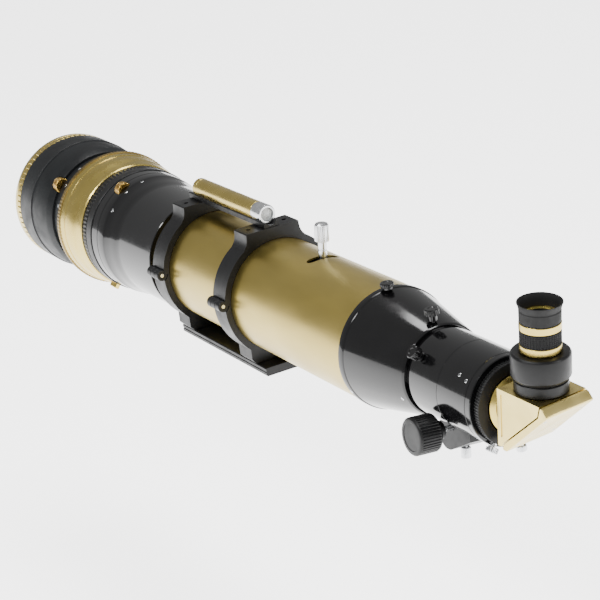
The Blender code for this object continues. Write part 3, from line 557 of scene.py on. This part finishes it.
def build_front():
    rim = [(-419.4, 46.2), (-419.4, 70.0), (-418.9, 70.9), (-418.3, 71.2), (-413.2, 71.2), (-413.0, 70.6)]
    rim += [(-412.4, 70.6), (-412.2, 71.2, 0.9), (-405.5, 71.2, 0.9), (-405.3, 70.6, 0.9), (-405.3, 58.5)]
    rim += [(-416.5, 58.5), (-416.5, 47.2), (-417.4, 46.2)]
    shape = turned(rim, ribs=72, pattern=(0, 0, 0, 0, 0, 1))
    piece("rim_castellated", shape, "gold_bright", "tube", ["filter_rim"])
    filter_outline = [(-416.2, 0), (-416.2, 57.6), (-415.8, 58.0), (-410.8, 58.0), (-410.4, 57.6)]
    filter_outline += [(-410.4, 0)]
    piece("energy_filter", turned(filter_outline), "filter_glass", "tube", ["filter_glass"])

    front_span, front_spot, front_angle = (-334.0, -324.8), 63.4, 143.8
    barrel = [(-409.6, 52.2), (-409.6, 58.0), (-404.8, 58.0), (-404.8, 70.6), (-404.2, 71.2)]
    barrel += [(-374.4, 71.2)]
    barrel += [(-373.9, 70.8), (-373.6, 70.2), (-336.6, 69.1), (-335.4, 68.6), (-327.0, 66.7)]
    barrel += [(-326.2, 66.1)]
    barrel += [(-326.2, 60.2), (-398.8, 60.2), (-402.6, 52.2)]
    barrel = piece("front_barrel", turned(barrel), "black_matte", "tube", ["filter_barrel"])
    carve(barrel, wheel_pocket(front_span, front_spot, front_angle))
    ring = [(-334.7, 52.6), (-334.7, 59.6), (-325.8, 59.6), (-325.8, 63.4), (-325.3, 63.9), (-312.6, 63.9)]
    ring += [(-312.4, 63.4), (-311.8, 63.4), (-311.6, 63.9), (-299.7, 63.9), (-299.3, 63.5), (-299.3, 60.9)]
    ring += [(-292.4, 60.5), (-292.4, 52.6)]
    ring = piece("wheel_carrier_ring", turned(ring), "black_matte", "tube", ["front_wheel_ring"])
    carve(ring, wheel_pocket(front_span, front_spot, front_angle))
    wheel("front", front_span, front_spot, front_angle, "front_wheel")
    for index, degrees in enumerate((115.3, 136.4, 157.5)):
        set_screw(f"carrier_set_screw_{index}", outward(-318.5, degrees, MOUNT), 64.0, 2.0, "tube")

    lip = [(-298.8, 61.2), (-298.8, 71.2), (-298.2, 72.1, 0.35), (-294.0, 72.1, 0.35), (-293.6, 71.2)]
    lip += [(-293.6, 61.2)]
    piece("tilt_lip_serrated", turned(lip, ribs=120), "gold_dull", "tube")
    housing = [(-293.5, 61.2), (-293.5, 70.9), (-285.3, 70.0), (-284.8, 69.3), (-265.8, 68.3)]
    housing += [(-264.9, 67.9)]
    housing += [(-257.0, 67.0), (-253.6, 66.3), (-251.2, 65.9), (-250.1, 64.8), (-250.1, 52.2)]
    housing += [(-252.8, 52.2)]
    housing += [(-252.8, 61.2)]
    piece("tilt_housing_turned", turned(housing), "gold_bright", "tube", ["tilt_housing"])
    tab = [(-2.4, 62.0), (2.4, 62.0), (2.4, 69.4), (1.6, 70.1), (-1.6, 70.1), (-2.4, 69.4)]
    at = TUBE @ Matrix.Rotation(math.radians(TAB_ANGLE), 4, "X")
    piece("tilt_stop_tab", prism(tab, -250.6, -237.0, at), "gold_bright", "tube", bevel=0.4)

    coupling = [(-249.5, 52.2), (-249.5, 64.3), (-249.0, 64.8, 0.5), (-240.0, 64.8, 0.5), (-239.4, 64.0)]
    coupling += [(-238.4, 64.0), (-237.9, 64.8), (-227.3, 64.8), (-226.7, 64.2), (-226.7, 52.2)]
    piece("coupling_knurled", turned(coupling, ribs=96), "black_satin", "tube", ["coupling_ring"])

    rear_span, rear_spot, rear_angle = (-214.6, -205.0), 60.4, 121.0
    adapter = [(-226.2, 57.5), (-226.2, 63.4), (-225.7, 63.9), (-214.2, 63.4), (-213.8, 62.8)]
    adapter += [(-213.2, 62.8)]
    adapter += [(-212.9, 63.3), (-202.3, 62.9), (-199.2, 62.2), (-198.5, 61.9), (-185.6, 60.8)]
    adapter += [(-177.2, 59.2)]
    adapter += [(-172.0, 58.5), (-168.5, 58.2), (-97.4, 58.5), (-96.8, 57.9), (-96.8, 54.4), (-186.8, 54.4)]
    adapter += [(-186.8, 49.2), (-191.4, 49.2), (-191.4, 57.5)]
    adapter = piece("adapter_sleeve", turned(adapter), "black_gloss", "tube", ["front_adapter"])
    carve(adapter, wheel_pocket(rear_span, rear_spot, rear_angle))
    wheel("rear", rear_span, rear_spot, rear_angle, "rear_wheel")
    for index, degrees in enumerate((98, 117, 139)):
        set_screw(f"flange_set_screw_{index}", outward(-198.0, degrees, MOUNT), 62.1, 1.9, "tube")


# ---------------------------------------------------------------- tube, tuner and cone


def thumbscrew(name, at, heights, radii, body, nodes, look="black_gloss", ribs=24):
    """A knurled screw: heights are its tip, collar, head and top, radii its collar and head."""
    tip, collar, head, top = heights
    outline = [(tip, 0), (tip, 1.8), (collar, 1.8), (collar, radii[0] - 0.3), (collar + 0.3, radii[0])]
    outline += [(head, radii[0]), (head, radii[1] - 0.6), (head + 0.6, radii[1] - 0.1, 0.5)]
    outline += [(top - 0.8, radii[1] - 0.1, 0.5), (top - 0.1, radii[1] - 0.9), (top - 0.1, radii[1] * 0.5)]
    outline += [(top - 0.5, radii[1] * 0.45), (top - 0.5, 0)]
    piece(name, turned(outline, at, ribs=ribs), look, body, nodes)


def build_tube():
    tube = [(-150.4, 52.1), (-150.4, 53.6), (-150.0, 53.9), (269.8, 53.9), (270.1, 53.6), (270.1, 52.1)]
    tube = piece("tube_body", turned(tube, steps=180), "gold_tube", "tube", ["main_tube"])
    low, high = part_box("tuner_knob")
    x = (low.x + high.x) / 2 / MM
    slot = arc(4.8, -math.pi / 2, math.pi / 2, 10, (11.4, 0))
    slot += [(-a, -b) for a, b in slot]
    shape = bmesh.new()
    below = [shape.verts.new(TUBE @ (Vector((x + b, a, 44)) * MM)) for a, b in slot]
    above = [shape.verts.new(TUBE @ (Vector((x + b, a, 60)) * MM)) for a, b in slot]
    shape.faces.new(below[::-1])
    shape.faces.new(above)
    for index in range(len(slot)):
        after = (index + 1) % len(slot)
        shape.faces.new((below[index], below[after], above[after], above[index]))
    carve(tube, shape)
    knob = [(46.4, 0), (46.4, 2.5), (51.9, 2.5), (51.9, 3.9), (52.3, 4.1), (60.5, 4.1), (60.9, 3.6)]
    knob += [(61.7, 3.6)]
    knob += [(62.1, 4.1), (68.9, 4.1), (68.9, 6.2), (69.5, 6.7, 0.45), (83.2, 6.7, 0.45), (84.2, 6.4)]
    knob += [(85.6, 5.4)]
    knob += [(86.3, 3.6), (86.4, 0)]
    shape = turned(knob, TUBE @ shift(x) @ UPWARD, ribs=28)
    piece("tuner_thumb_knob", shape, "silver", "tuner", ["tuner_knob"])


def build_cone():
    cone = [(262.2, 48.8), (262.2, 51.6), (270.5, 51.6), (270.5, 54.2), (271.1, 54.8), (277.9, 54.8)]
    cone += [(278.5, 54.5)]
    cone += [(278.9, 54.0), (350.4, 40.6), (351.8, 40.1), (352.8, 39.2), (352.8, 34.4), (337.2, 34.4)]
    cone += [(335.2, 38.6), (280.5, 48.8)]
    piece("cone_gloss", turned(cone, steps=180), "black_gloss", "tube", ["rear_cone"])
    thumbscrew("cone_thumbscrew_front", outward(278.5, 98), (49.0, 55.2, 57.5, 61.4), (4.6, 6.2),
               "cone_lock_front", ["cone_screw_front"])
    thumbscrew("cone_thumbscrew_top", outward(345.5, 96.8), (35.0, 43.1, 48.0, 53.9), (4.0, 6.4),
               "cone_lock_top", ["cone_screw_top"])
    set_screw("flange_grub", outward(274.5, -151, MOUNT), 55.1, 1.7, "tube")
    set_screw("cone_grub", outward(345.0, -158, MOUNT), 42.0, 1.7, "tube")


# ---------------------------------------------------------------- focuser


SHAFT_HEIGHT = -36.3


def build_focuser():
    body = [(338.7, 28.4), (338.7, 33.4), (353.2, 33.4), (353.2, 36.7), (358.2, 36.7), (358.2, 37.6)]
    body += [(358.8, 38.2)]
    body += [(399.8, 38.2), (400.0, 37.9), (400.4, 37.9), (400.6, 38.2), (440.8, 38.2), (441.1, 37.8)]
    body += [(441.7, 37.8)]
    body += [(442.0, 38.2), (447.7, 38.2), (448.4, 37.6), (448.4, 28.4)]
    shell = piece("focuser_shell", turned(body, steps=180), "black_gloss", "focuser", ["focuser_body"])
    rack_slot = block((330, 452), (-4.4, 4.4), (-32.4, -20), TUBE)
    pinion_window = block((381, 395), (-9, 9), (-46, -24), TUBE)
    carve(shell, rack_slot, pinion_window)
    thumbscrew("focuser_thumbscrew", outward(368.0, 144.7), (30.5, 38.7, 42.5, 49.9), (4.2, 6.1),
               "focuser_lock", ["focuser_screw"])
    set_screw("focuser_grub_a", outward(436.0, 142.4, MOUNT), 38.6, 1.6, "focuser")
    set_screw("focuser_grub_b", outward(425.0, 139.0, MOUNT), 38.6, 1.6, "focuser")

    knob_x = JOINTS["focus_knobs_turn"]["pos_m"][0] / MM
    outline = [(knob_x - 19.4, -33.0), (knob_x - 19.4, -50.0), (knob_x - 17.6, -53.6)]
    outline += [(knob_x - 14.8, -56.2)]
    outline += [(knob_x - 11.6, -57.7), (knob_x - 8.0, -57.9), (knob_x - 4.2, -57.7)]
    outline += [(knob_x + 25.8, -42.4)]
    outline += [(knob_x + 25.8, -33.0)]
    housing = piece("pinion_box", prism(outline, -15.9, 15.9, TUBE, "Y"), "black_satin", "focuser",
                    ["pinion_housing"])
    saddle = bore(350, 470, 38.4)
    shaft = bore(-20, 20, 2.9, TUBE @ shift(knob_x, 0, SHAFT_HEIGHT) @ SIDEWAYS, 32)
    carve(housing, saddle, shaft, block((knob_x - 7.2, knob_x + 7.2), (-9.2, 9.2), (-44, -20), TUBE))
    screw = [(-68.3, 0), (-68.3, 3.2), (-67.6, 4.3, 0.4), (-59.2, 4.3, 0.4), (-58.5, 3.6), (-58.5, 1.6)]
    screw += [(-48, 1.6)]
    screw += [(-48, 0)]
    piece("tension_thumbscrew", turned(screw, TUBE @ shift(knob_x - 5.5) @ UPWARD, ribs=20), "silver",
          "tension_lock", ["tension_screw"])

    knob = [(50.3, 0), (50.3, 2.8), (27.1, 2.8), (27.1, 7.6), (27.5, 7.9), (34.5, 7.9), (34.5, 14.6)]
    knob += [(35.6, 15.9)]
    knob += [(36.6, 16.3), (38.0, 16.3, 0.7), (53.4, 16.3, 0.7), (54.4, 16.2), (55.4, 15.4), (55.8, 14.4)]
    knob += [(55.8, 12.2), (55.4, 11.8), (55.4, 0)]
    for side, turn in (("far", SIDEWAYS), ("near", SIDEWAYS.inverted())):
        at = TUBE @ shift(knob_x, 0, SHAFT_HEIGHT) @ turn
        shape = turned(knob, at, ribs=40, pattern=(0, 0, 0, 1, 1))
        piece(f"focus_knob_{side}_fluted", shape, "black_satin", "focus_shaft", [f"focus_knob_{side}"])


def build_drawtube():
    tube = [(331.1, 25.8), (331.1, 27.9), (451.9, 27.9), (451.9, 25.8)]
    shape = turned(tube)
    for index in range(40):
        x = 334.0 + index * 1.5708
        outline = [(x, -31.0), (x + 0.35, -31.9), (x + 0.75, -31.9), (x + 1.1, -31.0), (x + 1.1, -27.4)]
        outline += [(x, -27.4)]
        prism(outline, -3.9, 3.9, TUBE, "Y", into=shape)
    block((333.1, 397), (-3.9, 3.9), (-31.0, -27.2), TUBE, into=shape)
    piece("drawtube_and_rack", shape, "silver", "drawtube", ["drawtube"])
    ring = [(449.0, 28.4), (449.0, 33.4), (449.5, 33.9), (450.2, 34.1), (450.6, 35.3, 0.6)]
    ring += [(452.0, 35.3, 0.6)]
    ring += [(452.3, 34.4), (452.8, 34.4), (453.1, 35.3, 0.6), (455.6, 35.3, 0.6), (456.2, 34.7)]
    ring += [(456.2, 25.7)]
    ring += [(452.4, 25.7), (452.4, 28.4)]
    piece("adapter_ring", turned(ring, ribs=90), "black_satin", "drawtube", ["eyepiece_adapter"])
    heights = (28.7, 36.6, 38.4, 43.3)
    thumbscrew("adapter_thumbscrew_near", outward(452.6, -120), heights, (2.6, 5.3), "adapter_lock_near",
               ["adapter_screw_near"], "silver", 20)
    thumbscrew("adapter_thumbscrew_low", outward(452.6, -79), heights, (2.6, 4.5), "adapter_lock_low",
               ["adapter_screw_low"], "silver", 18)


# ---------------------------------------------------------------- diagonal and eyepiece


def build_diagonal():
    half = 24.75
    outline = [(-24.2, -0.1), (23.7, -0.1), (21.5, -9.1), (-17.4, -45.1), (-20.1, -49.7), (-24.2, -49.7)]
    body = piece("diagonal_block", prism(outline, -half, half, SQUARE, "Y"), "gold_diagonal", "diagonal",
                 ["diagonal_body"])
    from_tube = bore(430, 520, 17.6)
    to_eyepiece = bore(-16, 4, 13.6, SQUARE @ UPWARD, 64)
    recess = [(-20.4, -4.2), (16.6, -4.2), (14.6, -9.6), (-20.4, -41.6)]
    panel = prism(recess, -half - 1, -half + 0.7, SQUARE, "Y")
    far_panel = prism(recess, half - 0.7, half + 1, SQUARE, "Y")
    carve(body, from_tube, to_eyepiece, panel, far_panel)
    rounding = body.modifiers.new("rounding", "BEVEL")
    rounding.width = 0.45 * MM
    rounding.segments = 2
    rounding.limit_method = "ANGLE"
    nose = [(437.2, 17.7), (437.2, 24.6), (457.0, 24.6), (457.6, 24.0), (460.2, 20.6), (468.0, 20.6)]
    nose += [(468.0, 17.7)]
    piece("diagonal_nose", turned(nose), "gold_bright", "diagonal")
    cover = [(24.5, -0.5), (27.0, -1.3), (31.8, -6.1), (31.8, -7.4), (-14.6, -52.2), (-18.5, -52.2)]
    cover += [(-19.2, -50.3)]
    cover += [(-16.8, -45.7), (22.2, -9.6)]
    piece("diagonal_back_plate", prism(cover, -half, half, SQUARE, "Y"), "gold_diagonal", "diagonal",
          ["diagonal_cover"], bevel=0.5)
    lean = Matrix.Rotation(math.radians(46), 4, "Y")
    for index, (along, across) in enumerate(((-22, -19), (-22, 19), (22, -19), (22, 19))):
        at = SQUARE @ shift(8.4, across, -29.7) @ lean @ shift(z=along)
        set_screw(f"cover_screw_{index}", at, 0.4, 1.8, "diagonal")

    base = [(0.4, 14.7), (0.4, 21.4), (0.8, 21.8), (8.8, 21.8), (9.3, 21.3), (9.3, 16.3), (5.3, 16.3)]
    base += [(5.3, 14.7)]
    piece("holder_foot", turned(base, SQUARE @ UPWARD), "black_satin", "diagonal", ["holder_base"])
    ring = [(9.8, 16.3), (9.8, 21.2), (10.2, 21.7), (12.9, 23.7), (13.8, 24.0), (30.6, 24.0), (31.6, 23.6)]
    ring += [(32.6, 22.6), (32.7, 21.8), (32.7, 17.2), (32.2, 16.3)]
    piece("holder_collar", turned(ring, SQUARE @ UPWARD), "black_satin", "holder_clamp", ["holder_ring"])


def build_eyepiece():
    up = SQUARE @ UPWARD
    body = [(6.1, 13.3), (6.1, 15.7), (32.8, 15.7), (33.1, 15.9), (33.2, 16.4), (33.6, 16.7), (35.6, 16.7)]
    body += [(35.8, 16.4), (36.3, 16.4), (36.5, 16.7), (38.9, 16.7), (39.2, 16.4), (39.2, 15.1)]
    body += [(51.4, 15.1)]
    body += [(51.4, 16.5), (51.8, 16.8), (57.0, 16.8), (57.4, 16.4), (57.4, 15.1), (63.9, 15.1)]
    body += [(63.9, 12.5)]
    body += [(20.2, 12.5), (20.2, 13.3)]
    piece("eyepiece_barrel", turned(body, up), "gold_bright", "eyepiece", ["eyepiece_body"])
    grip = [(39.7, 15.4), (39.7, 16.4), (40.1, 16.6)]
    for index in range(6):
        z = 40.3 + index * 1.78
        grip += [(z, 16.6, 0.7), (z + 1.2, 16.6, 0.7), (z + 1.35, 16.0), (z + 1.65, 16.0)]
    grip += [(50.9, 16.4), (50.9, 15.4)]
    piece("grip_rubber", turned(grip, up, ribs=44), "rubber", "eyepiece", ["eyepiece_grip"])
    cup = [(57.9, 15.4), (57.9, 16.2), (58.3, 16.6), (66.8, 16.7), (67.4, 16.3), (68.0, 16.3), (68.5, 16.8)]
    cup += [(70.8, 17.3), (72.9, 18.2), (73.6, 18.2), (73.6, 17.6), (71.2, 16.2), (67.6, 15.4)]
    piece("eyecup_rubber", turned(cup, up), "rubber", "eyepiece", ["eyecup"])
    lens = [(56.1, 0), (56.1, 11.9), (59.0, 12.0), (60.0, 9.0), (60.7, 5.0), (60.9, 0)]
    piece("eye_lens_polished", turned(lens, up, 64), "glass", "eyepiece", ["eye_lens"])
    stop = [(57.4, 12.1), (57.4, 15.2), (62.0, 15.2), (62.0, 12.1)]
    piece("eye_lens_retainer", turned(stop, up, 96), "black_satin", "eyepiece")


def dress_remaining():
    """CAD nodes that keep their shape take the finish of their record slot."""
    slots = {row["node"]: row["material_slot"] for row in frame["record"]["subparts"]}
    for name, node in frame["nodes"].items():
        look = "gold_bright" if slots[name] == "gold" else slots[name]
        node.data.materials.clear()
        node.data.materials.append(LOOKS[look][0].material)


# ---------------------------------------------------------------- studio


def soft_light(name, place, target, size, watts):
    data = bpy.data.lights.new(name, "AREA")
    data.shape = "RECTANGLE"
    data.size, data.size_y = size
    data.energy = watts
    light = bpy.data.objects.new(name, data)
    bpy.context.scene.collection.objects.link(light)
    light.location = place
    light.rotation_euler = (Vector(target) - Vector(place)).to_track_quat("-Z", "Y").to_euler()


FLOOR_GLOW = 3.2


def build_studio():
    world = bpy.data.worlds.new("studio")
    bpy.context.scene.world = world
    world.use_nodes = True
    world.node_tree.nodes["Background"].inputs["Color"].default_value = (1, 1, 1, 1)
    world.node_tree.nodes["Background"].inputs["Strength"].default_value = 0.45
    soft_light("key", (0.6, -1.5, 1.9), (0.1, 0, 0.1), (1.6, 0.35), 42)
    soft_light("fill", (2.2, 1.2, 1.0), (0.2, 0, 0.1), (0.8, 0.8), 16)
    soft_light("top", (-0.1, 0.5, 2.2), (0.0, 0, 0.1), (1.8, 0.6), 46)

    floor_mesh = bpy.data.meshes.new("floor")
    shape = bmesh.new()
    bmesh.ops.create_grid(shape, x_segments=1, y_segments=1, size=30)
    shape.to_mesh(floor_mesh)
    shape.free()
    floor = bpy.data.objects.new("floor", floor_mesh)
    floor.location = (0, 0, CAD_LOW.z - 0.30)
    paper = Look("paper", (0.93, 0.93, 0.93), 0.9)
    paper.tint(paper.noise(3.0), (0.92, 0.92, 0.92))
    paper.set(Emission_Color=(1, 1, 1, 1), Emission_Strength=FLOOR_GLOW)
    floor_mesh.materials.append(paper.material)
    bpy.context.scene.collection.objects.link(floor)


def build_camera():
    data = bpy.data.cameras.new("camera")
    data.lens = CAMERA_LENS
    data.sensor_width = 36
    data.clip_end = 100
    camera = bpy.data.objects.new("camera", data)
    axes = Matrix((CAMERA_RIGHT, CAMERA_UP, CAMERA_BACK)).transposed()
    camera.matrix_world = Matrix.Translation(CAMERA_PLACE) @ axes.to_4x4()
    bpy.context.scene.collection.objects.link(camera)
    bpy.context.scene.camera = camera


build_camera()
build_plate()
for ring_end in ("front", "rear"):
    build_ring(ring_end)
build_finder()
build_front()
build_tube()
build_cone()
build_focuser()
build_drawtube()
build_diagonal()
build_eyepiece()
dress_remaining()
build_studio()
